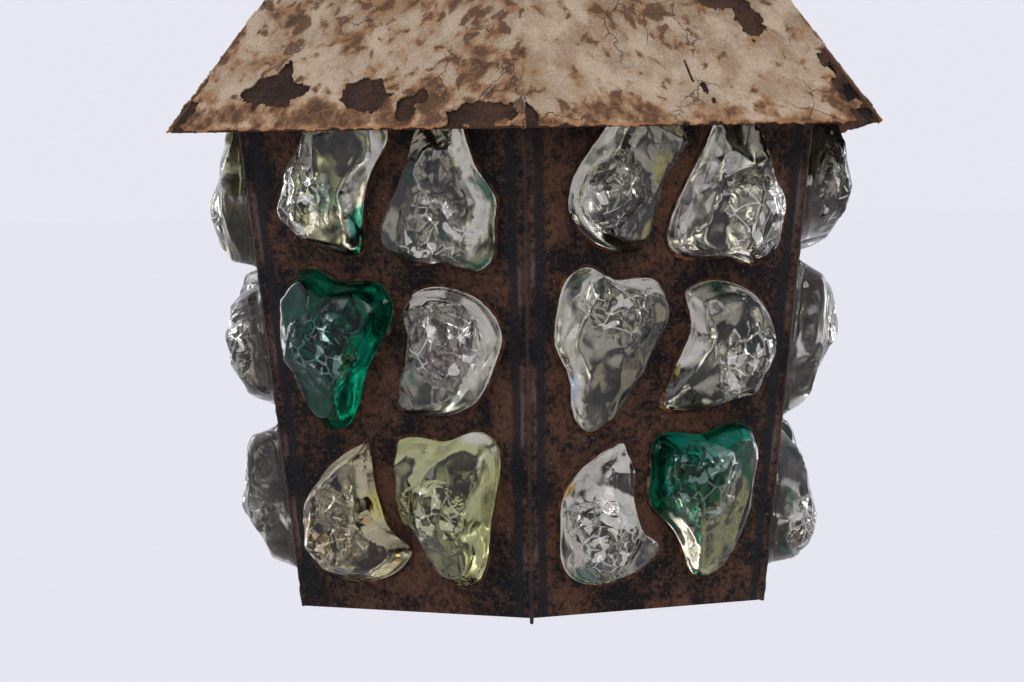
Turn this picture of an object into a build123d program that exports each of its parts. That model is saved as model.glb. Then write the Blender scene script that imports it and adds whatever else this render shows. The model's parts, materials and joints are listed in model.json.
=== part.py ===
from build123d import *

import os
from math import atan, cos, radians, sin
from random import Random

os.makedirs("parts", exist_ok=True)

# Hanging lantern: a six-sided tapering body of sheet iron, open underneath, with a steep
# six-sided roof. Thick chipped glass nuggets fill six cut-outs in every body panel.
# Millimetres and degrees, +Z up. The origin is where a hook bears inside the hanging ring.
# One body corner and one roof ridge point towards -Y.

# Driving dimensions
sides = 6
sheet = 1.5
body_corner_at_eave = 159.0
body_corner_at_bottom = 129.5
body_drop = 231.5
roof_corner_at_eave = 196.0
roof_corner_at_top = 34.0
roof_height = 192.5
roof_clearance = 0.3

ring_radius = 26.0
ring_wire = 4.0
loop_radius = 17.0
loop_wire = 4.0
wire_clearance = 0.3
collar_radius = 10.0
collar_height = 12.3

cap_plate = 2.0
cap_skirt = 18.0
cap_clearance = 0.4
cap_wall = 2.2

tube_radius = 5.0
tube_bore = 3.0
thread_clearance = 0.05
tube_in_collar = 10.0
wire_hole = 2.5
wire_hole_below_roof_top = 14.0

bar_width = 22.0
bar_thickness = 3.0
bar_top = 30.0
bar_tab_bottom = 13.0
bar_clearance = 0.1
rivet_radius = 2.0
rivet_clearance = 0.05
rivet_head = 3.6
rivet_head_height = 1.8
rivet_level = 20.5
rivet_spacing = 12.0
nut_across_flats = 14.0
nut_height = 4.0

grommet_offset = 19.0
grommet_direction = 45.0
grommet_bore = 3.25
grommet_neck = 4.5
grommet_flange = 6.0
grommet_flange_height = 2.0
grommet_fit = 0.05

glass_edge_scale = 0.98
glass_flange_scale = 1.07
glass_flange_depth = 3.5
glass_edge_band = 2.0
crown_height = 21.0
crown_height_spread = 2.5
crown_scale = 0.56

holder_above_eave = 6.0
holder_radius = 20.0
holder_wall = 2.0
holder_height = 56.0
holder_shoulder = 9.0
holder_neck = 9.0
holder_neck_depth = 10.0
core_radius = 17.6
core_drop = 12.0
core_floor = 6.0
core_bore = 14.0
core_length = 41.0
bulb_cap_radius = 13.0
bulb_cap_gap = 1.0
bulb_cap_height = 28.0
bulb_tip_radius = 4.55
bulb_tip_height = 1.0
bulb_tip_slope = 4.0
bulb_neck = 12.6
bulb_neck_length = 8.0
bulb_bulge = 1.2
bulb_radius = 30.0
bulb_length = 84.0
bulb_wall = 1.0

# Cut-out outlines on a panel's outer face: across from the panel's middle, and up from the
# level of the eave. Every panel was cut round the same template, six shapes in three rows.
# Each has the point that the glass crown narrows towards.
cutouts = {
    "upper_left": (
        (-33, -22),
        [(-33, 4), (-45, -12), (-54, -28), (-54, -41), (-45, -52), (-28, -60), (-14, -59)]
        + [(-12, -48), (-10, -33), (-2, -16), (6, -2), (2, 7), (-16, 9)],
    ),
    "upper_right": (
        (34, -38),
        [(23, 2), (14, -19), (2, -43), (1, -58), (11, -64), (36, -64.5), (50, -68)]
        + [(58, -62), (61, -45), (62.5, -34), (55, -22), (48, -3), (43, 8), (30, 9)],
    ),
    "middle_left": (
        (-33, -98),
        [(-46, -66.5), (-55, -73), (-59, -89), (-59, -103), (-51, -118), (-48, -135)]
        + [(-40, -145.5), (-29, -143), (-20, -128), (-14, -113), (-4, -99), (1, -82)]
        + [(-5, -73.5), (-30, -72)],
    ),
    "middle_right": (
        (34, -106),
        [(13, -78), (24, -74.5), (41, -77), (55, -86), (60.5, -98), (56, -111), (45, -129)]
        + [(33, -135.5), (15, -137.8), (1, -134), (3, -126), (12, -107), (15, -92)],
    ),
    "lower_left": (
        (-33, -190),
        [(-21, -150.5), (-38, -159.5), (-51, -175), (-52, -192), (-48, -212), (-36, -219)]
        + [(-19, -218.5), (-3, -210.5), (1.5, -203), (-8, -195), (-14, -182), (-17, -166)],
    ),
    "lower_right": (
        (29, -178),
        [(1, -147.5), (12, -147), (24, -148.5), (44, -143.5), (53, -148.5), (54, -163)]
        + [(47, -188), (43.5, -206), (36, -217.5), (24, -218.5), (17, -207), (8, -192.5)]
        + [(-3, -181), (-3.5, -163)],
    ),
}

# Levels, worked out downwards from the hook
ring_centre = -(ring_radius - ring_wire)
ring_bottom = ring_centre - ring_radius
loop_top = ring_bottom + ring_wire + loop_wire + wire_clearance
loop_centre = loop_top - loop_radius
loop_bottom = loop_centre - loop_radius
cap_top = loop_bottom - collar_height
roof_top = cap_top - cap_plate
eave = roof_top - roof_height
body_bottom = eave - body_drop

# Slopes of the body and the roof, measured square to a side
flat_share = cos(radians(30))
step = 360 / sides
body_slope = (body_corner_at_eave - body_corner_at_bottom) / body_drop * flat_share
body_tilt = atan(body_slope)
roof_slope = (roof_corner_at_eave - roof_corner_at_top) / roof_height * flat_share
roof_tilt = atan(roof_slope)


def side_plane(turn, corner_radius, slope, height):
    """The outer face of one side: x runs across it, y up it, z outwards."""
    tilt = atan(slope)
    normal = (cos(turn) * cos(tilt), sin(turn) * cos(tilt), -sin(tilt))
    reach = corner_radius * flat_share
    origin = (reach * cos(turn), reach * sin(turn), height)
    return Plane(origin=origin, x_dir=(-sin(turn), cos(turn), 0), z_dir=normal)


def mitre_plane(turn):
    """The upright plane through the axis and one corner, facing onwards round the axis."""
    return Plane(origin=(0, 0, 0), x_dir=(0, 0, 1), z_dir=(-sin(turn), cos(turn), 0))


side_turns = [radians(-60 + step * place) for place in range(sides)]
half_step = radians(step / 2)
mitre_spare = 2.0


def finish(builder, name):
    """Labels one finished piece and writes its file."""
    builder.part.label = name
    export_step(builder.part, f"parts/{name}.step")


# Body: six flat panels of sheet iron, mitred and welded along the corners. They stand up
# under the roof until it rests on their top edges.
roof_reach = roof_corner_at_eave * flat_share - sheet / cos(roof_tilt)
body_reach = body_corner_at_eave * flat_share
body_rise = (roof_reach - body_reach) / (body_slope + roof_slope) - roof_clearance
rise_on_face = body_rise / cos(body_tilt)
drop_on_face = body_drop / cos(body_tilt)
top_half = (body_corner_at_eave + body_rise * body_slope / flat_share) / 2
bottom_half = body_corner_at_bottom / 2
rivet_on_face = rivet_level / cos(body_tilt)
barred_panels = (1, 4)

for place, turn in enumerate(side_turns):
    face = side_plane(turn, body_corner_at_eave, body_slope, eave)
    with BuildPart() as panel:
        with BuildSketch(face):
            with BuildLine():
                Polyline(
                    (-bottom_half - mitre_spare, -drop_on_face),
                    (bottom_half + mitre_spare, -drop_on_face),
                    (top_half + mitre_spare, rise_on_face),
                    (-top_half - mitre_spare, rise_on_face),
                    close=True,
                )
            make_face()
        extrude(amount=-sheet)
        split(bisect_by=mitre_plane(turn + half_step), keep=Keep.BOTTOM)
        split(bisect_by=mitre_plane(turn - half_step), keep=Keep.TOP)
        with BuildSketch(face):
            for centre, outline in cutouts.values():
                with BuildLine():
                    Spline(*outline, periodic=True)
                make_face()
        extrude(amount=sheet * 2, both=True, mode=Mode.SUBTRACT)
        if place in barred_panels:
            with BuildSketch(face):
                with Locations((0, rivet_on_face)):
                    with GridLocations(rivet_spacing, 0, 2, 1):
                        Circle(rivet_radius + rivet_clearance)
            extrude(amount=sheet * 2, both=True, mode=Mode.SUBTRACT)
    finish(panel, f"panel_{place + 1}")

# Glass nuggets: a flange bedded behind the panel, an edge band through the cut-out and a
# thick crown outside, chipped along a few slanting planes. No two are chipped alike.
glass_random = Random(7)
chip_count = 5


def scaled_outline(outline, centre, scale):
    """The outline drawn towards its centre by a scale."""
    across, up = centre
    return [(across + (x - across) * scale, up + (y - up) * scale) for x, y in outline]


def chip_plane(face, centre, height):
    """A plane that takes a slanting chip off the top of a crown."""
    direction = radians(glass_random.uniform(0, 360))
    slant = radians(glass_random.uniform(10, 24))
    reach = glass_random.uniform(4, 12)
    depth = glass_random.uniform(1, 3)
    away = face.x_dir * cos(direction) + face.y_dir * sin(direction)
    middle = face.origin + face.x_dir * centre[0] + face.y_dir * centre[1]
    point = middle + away * reach + face.z_dir * (height - depth)
    return Plane(origin=point, z_dir=away * sin(slant) + face.z_dir * cos(slant))


blanks = {}
for where, (centre, outline) in cutouts.items():
    edge_outline = scaled_outline(outline, centre, glass_edge_scale)
    with BuildPart() as blank:
        with BuildSketch(Plane.XY.offset(-sheet)):
            with BuildLine():
                Spline(*scaled_outline(outline, centre, glass_flange_scale), periodic=True)
            make_face()
        extrude(amount=-glass_flange_depth)
        with BuildSketch(Plane.XY.offset(-sheet)):
            with BuildLine():
                Spline(*edge_outline, periodic=True)
            make_face()
        extrude(amount=sheet + glass_edge_band)
        with BuildSketch(Plane.XY.offset(glass_edge_band)):
            with BuildLine():
                Spline(*edge_outline, periodic=True)
            make_face()
        with BuildSketch(Plane.XY.offset(crown_height)):
            with BuildLine():
                Spline(*scaled_outline(outline, centre, crown_scale), periodic=True)
            make_face()
        loft()
    blanks[where] = blank.part

for place, turn in enumerate(side_turns):
    face = side_plane(turn, body_corner_at_eave, body_slope, eave)
    for where, (centre, outline) in cutouts.items():
        height = crown_height - glass_random.uniform(0.5, crown_height_spread)
        with BuildPart() as nugget:
            add(face.location * blanks[where])
            split(bisect_by=face.offset(height), keep=Keep.BOTTOM)
            for chip in range(chip_count):
                split(bisect_by=chip_plane(face, centre, height), keep=Keep.BOTTOM)
        finish(nugget, f"glass_{place + 1}_{where}")

# Roof: six plates of sheet iron, welded along the ridges and cut off level at the top.
roof_on_face = roof_height / cos(roof_tilt)
eave_half = roof_corner_at_eave / 2
roof_top_half = roof_corner_at_top / 2

for place, turn in enumerate(side_turns):
    face = side_plane(turn, roof_corner_at_eave, -roof_slope, eave)
    with BuildPart() as roof_side:
        with BuildSketch(face):
            with BuildLine():
                Polyline(
                    (-eave_half - mitre_spare, 0),
                    (eave_half + mitre_spare, 0),
                    (roof_top_half + mitre_spare, roof_on_face + mitre_spare),
                    (-roof_top_half - mitre_spare, roof_on_face + mitre_spare),
                    close=True,
                )
            make_face()
        extrude(amount=-sheet)
        split(bisect_by=mitre_plane(turn + half_step), keep=Keep.BOTTOM)
        split(bisect_by=mitre_plane(turn - half_step), keep=Keep.TOP)
        split(bisect_by=Plane.XY.offset(roof_top), keep=Keep.BOTTOM)
    finish(roof_side, f"roof_side_{place + 1}")

# Roof cap: a six-sided hat that covers the roof's open top, with a middle hole for the
# tube and a second hole for the cable's grommet.
corner_turn = 30
cap_spread = (roof_corner_at_eave - roof_corner_at_top) / roof_height
cap_inner_top = roof_corner_at_top + cap_clearance
cap_inner_low = cap_inner_top + cap_skirt * cap_spread
cap_outer_low = cap_inner_low + cap_wall
cap_outer_top = cap_inner_top + cap_wall - cap_plate * cap_spread
grommet_turn = radians(grommet_direction)
grommet_place = (grommet_offset * cos(grommet_turn), grommet_offset * sin(grommet_turn))

with BuildPart() as roof_cap:
    with BuildSketch(Plane.XY.offset(roof_top - cap_skirt)):
        RegularPolygon(cap_outer_low, sides, rotation=corner_turn)
    with BuildSketch(Plane.XY.offset(cap_top)):
        RegularPolygon(cap_outer_top, sides, rotation=corner_turn)
    loft()
    with BuildSketch(Plane.XY.offset(roof_top - cap_skirt)):
        RegularPolygon(cap_inner_low, sides, rotation=corner_turn)
    with BuildSketch(Plane.XY.offset(roof_top)):
        RegularPolygon(cap_inner_top, sides, rotation=corner_turn)
    loft(mode=Mode.SUBTRACT)
    with Locations((0, 0, cap_top)):
        Hole(tube_radius + thread_clearance, depth=cap_plate)
    with Locations((*grommet_place, cap_top)):
        Hole(grommet_neck + grommet_fit, depth=cap_plate)
finish(roof_cap, "roof_cap")

# Cable grommet: a rubber bush in the roof cap, through which the supply cable comes in.
with BuildPart() as cable_grommet:
    with BuildSketch(Plane.XY.offset(cap_top)):
        with Locations(grommet_place):
            Circle(grommet_flange)
    extrude(amount=grommet_flange_height)
    with BuildSketch(Plane.XY.offset(roof_top)):
        with Locations(grommet_place):
            Circle(grommet_neck)
    extrude(amount=cap_plate)
    with BuildSketch(Plane.XY.offset(roof_top)):
        with Locations(grommet_place):
            Circle(grommet_flange)
    extrude(amount=-grommet_flange_height)
    rims = cable_grommet.edges().filter_by(GeomType.CIRCLE).group_by(Axis.Z)
    fillet(rims[-1] + rims[0], radius=grommet_flange_height / 3)
    with Locations((*grommet_place, cap_top + grommet_flange_height)):
        Hole(grommet_bore)
finish(cable_grommet, "cable_grommet")

# Hanging ring: a welded ring of round bar that goes over the ceiling hook.
with BuildPart() as hanging_ring:
    with Locations(Plane(origin=(0, 0, ring_centre), z_dir=(1, 0, 0))):
        Torus(ring_radius, ring_wire)
finish(hanging_ring, "hanging_ring")

# Hanging loop: a round loop forged in one with a collar. The collar is tapped for the top
# of the tube and clamps the cap and the roof down on the body.
with BuildPart() as hanging_loop:
    with Locations(Plane(origin=(0, 0, loop_centre), z_dir=(0, 1, 0))):
        Torus(loop_radius, loop_wire)
    with BuildSketch(Plane.XY.offset(cap_top)):
        Circle(collar_radius)
    extrude(amount=collar_height)
    with BuildSketch(Plane.XY.offset(cap_top)):
        Circle(tube_radius + thread_clearance)
    extrude(amount=tube_in_collar, mode=Mode.SUBTRACT)
finish(hanging_loop, "hanging_loop")

# Centre tube: a threaded tube from the loop down to the lampholder. The wires go in at the
# side hole below the roof cap and down inside it.
holder_top = eave + holder_above_eave
tube_bottom = holder_top - holder_neck_depth
tube_length = cap_top + tube_in_collar - tube_bottom

with BuildPart() as centre_tube:
    with BuildSketch(Plane.XY.offset(tube_bottom)):
        Circle(tube_radius)
        Circle(tube_bore, mode=Mode.SUBTRACT)
    extrude(amount=tube_length)
    with BuildSketch(Plane.XZ):
        with Locations((0, roof_top - wire_hole_below_roof_top)):
            Circle(wire_hole)
    extrude(amount=tube_radius * 2, mode=Mode.SUBTRACT)
finish(centre_tube, "centre_tube")


def inner_reach(level):
    """From the axis to the inside of a body panel, at a level above the eave."""
    return body_reach + body_slope * level - sheet / cos(body_tilt) - bar_clearance


# Cross bar: flat iron across the inside of the body, its ends bent down against two
# opposite panels. The tube is bolted through its middle.
bar_low = bar_top - bar_thickness
tab_reach = inner_reach(bar_tab_bottom)
top_reach = inner_reach(bar_top)
low_reach = inner_reach(bar_low)

with BuildPart() as cross_bar:
    with BuildSketch(Plane.XZ):
        with BuildLine():
            Polyline(
                (tab_reach, eave + bar_tab_bottom),
                (top_reach, eave + bar_top),
                (-top_reach, eave + bar_top),
                (-tab_reach, eave + bar_tab_bottom),
                (-tab_reach + bar_thickness, eave + bar_tab_bottom),
                (-low_reach + bar_thickness, eave + bar_low),
                (low_reach - bar_thickness, eave + bar_low),
                (tab_reach - bar_thickness, eave + bar_tab_bottom),
                close=True,
            )
        make_face()
    extrude(amount=bar_width / 2, both=True)
    with Locations((0, 0, eave + bar_top)):
        Hole(tube_radius + thread_clearance, depth=bar_thickness)
    for place in barred_panels:
        face = side_plane(side_turns[place], body_corner_at_eave, body_slope, eave)
        with BuildSketch(face):
            with Locations((0, rivet_on_face)):
                with GridLocations(rivet_spacing, 0, 2, 1):
                    Circle(rivet_radius + rivet_clearance)
        extrude(amount=bar_thickness * 3, both=True, mode=Mode.SUBTRACT)
finish(cross_bar, "cross_bar")

# Rivets: two at each end of the cross bar, through the panel, with a head on both sides.
rivet_grip = sheet + (bar_thickness + bar_clearance) * cos(body_tilt)

with BuildPart() as bar_rivets:
    for place in barred_panels:
        face = side_plane(side_turns[place], body_corner_at_eave, body_slope, eave)
        for depth, radius, height in (
            (-rivet_grip - rivet_head_height, rivet_head, rivet_head_height),
            (-rivet_grip, rivet_radius, rivet_grip),
            (0, rivet_head, rivet_head_height),
        ):
            with BuildSketch(face.offset(depth)):
                with Locations((0, rivet_on_face)):
                    with GridLocations(rivet_spacing, 0, 2, 1):
                        Circle(radius)
            extrude(amount=height)
finish(bar_rivets, "bar_rivets")

# Lock nuts: two thin hexagon nuts that clamp the tube to the cross bar.
with BuildPart() as lock_nuts:
    for level in (eave + bar_top, eave + bar_low - nut_height):
        with BuildSketch(Plane.XY.offset(level)):
            RegularPolygon(nut_across_flats / 2, 6, major_radius=False)
            Circle(tube_radius + thread_clearance, mode=Mode.SUBTRACT)
        extrude(amount=nut_height)
finish(lock_nuts, "lock_nuts")

# Lampholder body: a shell with a shoulder, tapped at the top for the tube.
holder_inside = holder_radius - holder_wall
shoulder_top = holder_radius - holder_shoulder + holder_wall
with BuildPart() as lampholder_body:
    with BuildSketch(Plane.XZ):
        with BuildLine():
            Polyline(
                (tube_radius + thread_clearance, holder_top),
                (shoulder_top, holder_top),
                (holder_radius, holder_top - holder_shoulder),
                (holder_radius, holder_top - holder_height),
                (holder_inside, holder_top - holder_height),
                (holder_inside, holder_top - holder_shoulder - holder_wall / 2),
                (shoulder_top - holder_wall / 2, holder_top - holder_wall),
                (holder_neck, holder_top - holder_wall),
                (holder_neck, holder_top - holder_neck_depth),
                (tube_radius + thread_clearance, holder_top - holder_neck_depth),
                close=True,
            )
        make_face()
    revolve()
finish(lampholder_body, "lampholder_body")

# Lampholder core: the ceramic insert that carries the contacts and the screw for the bulb.
core_top = holder_top - core_drop
core_bottom = core_top - core_length
with BuildPart() as lampholder_core:
    with BuildSketch(Plane.XY.offset(core_bottom)):
        Circle(core_radius)
    extrude(amount=core_length)
    with BuildSketch(Plane.XY.offset(core_bottom)):
        Circle(core_bore)
    extrude(amount=core_length - core_floor, mode=Mode.SUBTRACT)
finish(lampholder_core, "lampholder_core")

# Bulb: a screw cap and a thin clear envelope with a long neck.
cap_tip = core_top - core_floor - bulb_cap_gap
cap_foot = cap_tip - bulb_cap_height
tip_low = cap_tip - bulb_tip_height
with BuildPart() as bulb_cap:
    with BuildSketch(Plane.XZ):
        with BuildLine():
            Polyline(
                (0, cap_tip),
                (bulb_tip_radius, cap_tip),
                (bulb_tip_radius, tip_low),
                (bulb_cap_radius, tip_low - bulb_tip_slope),
                (bulb_cap_radius, cap_foot),
                (0, cap_foot),
                close=True,
            )
        make_face()
    revolve()
finish(bulb_cap, "bulb_cap")

bulb_middle = cap_foot - bulb_length + bulb_radius
neck_low = cap_foot - bulb_neck_length
with BuildPart() as bulb_glass:
    for wall, mode in ((0, Mode.ADD), (bulb_wall, Mode.SUBTRACT)):
        neck = bulb_neck - wall
        globe = bulb_radius - wall
        with BuildSketch(Plane.XZ):
            with BuildLine():
                Line((0, cap_foot), (neck, cap_foot))
                Line((neck, cap_foot), (neck, neck_low))
                Spline(
                    (neck, neck_low),
                    (globe, bulb_middle),
                    tangents=((0, -1), (0, -1)),
                    tangent_scalars=(bulb_bulge, bulb_bulge),
                )
                CenterArc((0, bulb_middle), globe, 0, -90)
                Line((0, bulb_middle - globe), (0, cap_foot))
            make_face()
        revolve(mode=mode)
finish(bulb_glass, "bulb_glass")
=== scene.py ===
import json
import math
from random import Random

import bpy
from mathutils import Matrix, Vector, noise


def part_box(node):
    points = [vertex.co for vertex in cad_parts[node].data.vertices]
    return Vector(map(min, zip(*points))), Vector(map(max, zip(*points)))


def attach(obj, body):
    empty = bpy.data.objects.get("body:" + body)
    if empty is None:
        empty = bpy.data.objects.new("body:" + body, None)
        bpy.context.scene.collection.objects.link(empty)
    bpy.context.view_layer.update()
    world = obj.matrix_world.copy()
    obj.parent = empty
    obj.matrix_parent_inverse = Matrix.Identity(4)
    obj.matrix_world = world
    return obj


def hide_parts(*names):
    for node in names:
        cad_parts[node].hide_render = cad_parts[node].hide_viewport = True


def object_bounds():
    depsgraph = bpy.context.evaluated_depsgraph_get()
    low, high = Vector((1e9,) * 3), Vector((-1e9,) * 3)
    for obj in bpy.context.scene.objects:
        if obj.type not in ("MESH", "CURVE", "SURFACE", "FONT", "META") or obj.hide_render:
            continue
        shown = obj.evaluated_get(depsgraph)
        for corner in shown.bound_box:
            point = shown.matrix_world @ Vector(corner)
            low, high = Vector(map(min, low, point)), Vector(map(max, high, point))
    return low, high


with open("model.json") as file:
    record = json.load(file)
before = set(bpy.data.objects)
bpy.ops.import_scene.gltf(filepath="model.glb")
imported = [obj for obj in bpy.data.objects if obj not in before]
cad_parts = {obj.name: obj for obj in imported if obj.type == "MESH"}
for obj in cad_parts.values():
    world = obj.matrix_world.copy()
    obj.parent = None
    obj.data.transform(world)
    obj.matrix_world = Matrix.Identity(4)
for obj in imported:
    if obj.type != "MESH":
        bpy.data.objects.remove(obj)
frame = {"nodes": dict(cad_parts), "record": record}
cad_low, cad_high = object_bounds()
scene = bpy.context.scene
nodes = frame["nodes"]

# Studio. The lantern hangs clear of a wide pale floor, and the camera looks at it from a
# little above the eave, straight at one corner. The lens is long, so the sides barely spread.
roof_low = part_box("roof_side_2")[0]
body_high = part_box("panel_2")[1]
eave = roof_low.z
camera_distance = 2.075
camera_turn = math.radians(0.5)
camera_yaw = math.radians(0.25)
camera_drop = math.radians(2.935)
camera_roll = math.radians(-0.85)
lens = bpy.data.cameras.new("camera")
lens.lens = 145.9
lens.sensor_width = 36
lens.clip_end = 500
camera = bpy.data.objects.new("camera", lens)
scene.collection.objects.link(camera)
turned = (
    Matrix.Rotation(camera_turn + camera_yaw, 4, "Z")
    @ Matrix.Rotation(math.pi / 2 - camera_drop, 4, "X")
    @ Matrix.Rotation(camera_roll, 4, "Z")
)
stand = Vector((math.sin(camera_turn), -math.cos(camera_turn), 0)) * camera_distance
camera.matrix_world = Matrix.Translation(stand + Vector((0, 0, eave))) @ turned
scene.camera = camera

scene.view_settings.view_transform = "Standard"
world = bpy.data.worlds.new("studio")
scene.world = world
world.use_nodes = True
sky_colour = (0.905, 0.905, 1.0)
sky_strength = 0.885
sky = world.node_tree.nodes["Background"]
sky.inputs["Color"].default_value = (*sky_colour, 1)
sky.inputs["Strength"].default_value = sky_strength


def softbox(name, place, aim, size, power):
    """A rectangular soft light, turned to face a point."""
    lamp = bpy.data.lights.new(name, "AREA")
    lamp.shape = "RECTANGLE"
    lamp.size, lamp.size_y = size
    lamp.energy = power
    lit = bpy.data.objects.new(name, lamp)
    facing = (Vector(aim) - Vector(place)).to_track_quat("-Z", "Y")
    lit.matrix_world = Matrix.Translation(Vector(place)) @ facing.to_matrix().to_4x4()
    scene.collection.objects.link(lit)


middle = (0, 0, body_high.z - 0.1)
softbox("key_light", (1.5, -1.6, 0.7), middle, (0.7, 1.0), 15)
softbox("left_light", (-1.7, -1.2, 0.2), middle, (0.5, 1.1), 7)
softbox("back_light", (-0.5, 1.0, 1.2), middle, (0.8, 0.6), 4)
softbox("left_strip", (-1.1, 0.9, -0.1), middle, (0.22, 1.1), 5)
softbox("right_strip", (1.1, 0.9, -0.1), middle, (0.22, 1.1), 5)

bpy.ops.object.select_all(action="DESELECT")
floor_radius = 200
floor_gap = 4.0
bpy.ops.mesh.primitive_circle_add(
    vertices=64, radius=floor_radius, fill_type="NGON", location=(0, 0, cad_low.z - floor_gap)
)
floor = bpy.context.object
floor.name = "floor"


class Value:
    """One socket of a finish. Python's own signs between values add their Math nodes."""

    def __init__(self, finish, socket):
        self.finish = finish
        self.socket = socket

    def _math(self, operation, first, second):
        return self.finish.node("Math", {"operation": operation}, {0: first, 1: second})

    def __add__(self, other):
        return self._math("ADD", self, other)

    def __radd__(self, other):
        return self._math("ADD", other, self)

    def __sub__(self, other):
        return self._math("SUBTRACT", self, other)

    def __rsub__(self, other):
        return self._math("SUBTRACT", other, self)

    def __mul__(self, other):
        return self._math("MULTIPLY", self, other)

    def __rmul__(self, other):
        return self._math("MULTIPLY", other, self)


class Finish:
    """A node material with one shader, and one method that adds every other node."""

    def __init__(self, name, **sockets):
        self.material = bpy.data.materials.new(name)
        self.material.use_nodes = True
        self.tree = self.material.node_tree
        self.shader = self.tree.nodes["Principled BSDF"]
        for socket, value in sockets.items():
            self.put(socket.replace("_", " "), value)

    def put(self, socket, value):
        """A value or a link for one of the shader's sockets."""
        self._fill(self.shader.inputs[socket], value)

    def _fill(self, socket, value):
        if isinstance(value, Value):
            self.tree.links.new(value.socket, socket)
        elif isinstance(value, tuple) and len(value) == 3 and socket.type == "RGBA":
            socket.default_value = (*value, 1)
        else:
            socket.default_value = value

    def node(self, kind, settings, inputs, output=0):
        """Adds one node, with its settings first and then its sockets."""
        made = self.tree.nodes.new("ShaderNode" + kind)
        for setting, value in settings.items():
            setattr(made, setting, value)
        for socket, value in inputs.items():
            self._fill(made.inputs[socket], value)
        return Value(self, made.outputs[output])

    def place(self):
        """Where the surface is, in metres on the lantern."""
        return self.node("TexCoord", {}, {}, "Object")

    def noise(self, size, detail=4, roughness=0.6, stretch=(1, 1, 1), distortion=0.0):
        """Cloudy noise with features of a size in metres."""
        spread = self.node("Mapping", {}, {"Vector": self.place(), "Scale": stretch})
        inputs = {"Vector": spread, "Scale": 1 / size, "Detail": detail}
        inputs.update(Roughness=roughness, Distortion=distortion)
        return self.node("TexNoise", {}, inputs)

    def step(self, value, low, high):
        """0 below low, 1 above high and smooth between."""
        return self.node(
            "MapRange",
            {"interpolation_type": "SMOOTHSTEP"},
            {"Value": value, "From Min": low, "From Max": high},
        )

    def mix(self, share, under, over):
        """One colour over another, by a share."""
        return self.node("Mix", {"data_type": "RGBA"}, {"Factor": share, 6: under, 7: over}, 2)

    def bump(self, height, depth, strength=1.0):
        """Relief of a depth in metres."""
        relief = self.node("Bump", {}, {"Height": height, "Distance": depth, "Strength": strength})
        self.put("Normal", relief)


def dress(piece, finish):
    """Gives a piece one finish all over."""
    piece.data.materials.clear()
    piece.data.materials.append(finish.material)


pale = Finish("pale_floor", Base_Color=(0.985, 0.985, 0.985), Roughness=0.9)
pale.put("Specular IOR Level", 0.0)
dress(floor, pale)

# Body. Six panels of sheet iron, rusted brown and black out of doors. Beside the corner
# welds the iron was heated and ground, and has stayed bare and blue-black.
body_turns = [math.radians(-60 + 60 * place) for place in range(6)]
sector = math.radians(60)


def side_frame(node, place):
    """The outward, across and up directions of one side, and how far out its face lies."""
    mesh = nodes[node].data
    heading = Vector((math.cos(body_turns[place]), math.sin(body_turns[place]), 0))
    facing = max(mesh.polygons, key=lambda face: face.normal.dot(heading) * face.area)
    outward = facing.normal.copy()
    sideways = Vector((0, 0, 1)).cross(outward).normalized()
    upward = outward.cross(sideways)
    reach = max(vertex.co.dot(outward) for vertex in mesh.vertices)
    return outward, sideways, upward, reach


def face_points(node, outward, reach):
    """The corners of a side's outer face."""
    points = [vertex.co.copy() for vertex in nodes[node].data.vertices]
    return [point for point in points if point.dot(outward) > reach - 0.0001]


def from_corner(finish):
    """How far a point is from the nearest upright corner: 0 there, 1 mid-side."""
    along = finish.node("SeparateXYZ", {}, {"Vector": finish.place()})
    across = finish.node("SeparateXYZ", {}, {"Vector": finish.place()}, 1)
    turn = finish.node("Math", {"operation": "ARCTAN2"}, {0: across, 1: along})
    folded = finish.node("Math", {"operation": "PINGPONG"}, {0: turn + sector / 2, 1: sector / 2})
    return folded * (2 / sector)


def rusty_iron(finish):
    """Old iron: black scale, brown rust in patches, and pale specks of grit."""
    patches = finish.noise(0.030, 6, 0.66)
    grain = finish.noise(0.0026, 5, 0.75)
    specks = finish.noise(0.0012, 2, 0.5)
    rust = finish.step(patches * 0.55 + grain * 0.45, 0.43, 0.58)
    colour = finish.mix(rust, (0.0048, 0.0043, 0.0047), (0.080, 0.037, 0.021))
    redder = finish.step(grain * 0.5 + patches * 0.5, 0.53, 0.68)
    colour = finish.mix(redder * 0.6, colour, (0.125, 0.050, 0.022))
    pits = finish.step(grain, 0.56, 0.68)
    colour = finish.mix(pits * 0.55, colour, (0.0050, 0.0045, 0.0048))
    colour = finish.mix(finish.step(specks, 0.66, 0.74) * 0.55, colour, (0.16, 0.15, 0.145))
    return colour, patches, grain


iron = Finish("body_iron")
iron.put("Specular IOR Level", 0.09)
colour, patches, grain = rusty_iron(iron)
from_seam = from_corner(iron) + (grain - 0.5) * 0.03 + (patches - 0.5) * 0.05
band = iron.step(from_seam, 0.035, 0.060) * (1 - iron.step(from_seam, 0.095, 0.135))
colour = iron.mix(band * 0.80, colour, (0.0085, 0.0095, 0.012))
# Painted highlight: a thin, patchy bluish-grey line just outside the blue-black band along each
# corner.
painted_highlight_line = iron.step(from_seam, 0.030, 0.042) * (1 - iron.step(from_seam, 0.050, 0.062))
painted_highlight_line = painted_highlight_line * iron.step(patches, 0.48, 0.60)
colour = iron.mix(painted_highlight_line * 0.6, colour, (0.075, 0.080, 0.092))
iron.put("Base Color", colour)
iron.put("Roughness", 0.50 + patches * 0.28)
iron.bump(grain * 0.7 + patches * 0.4, 0.0007, 0.9)
for place in range(6):
    dress(nodes[f"panel_{place + 1}"], iron)

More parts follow.
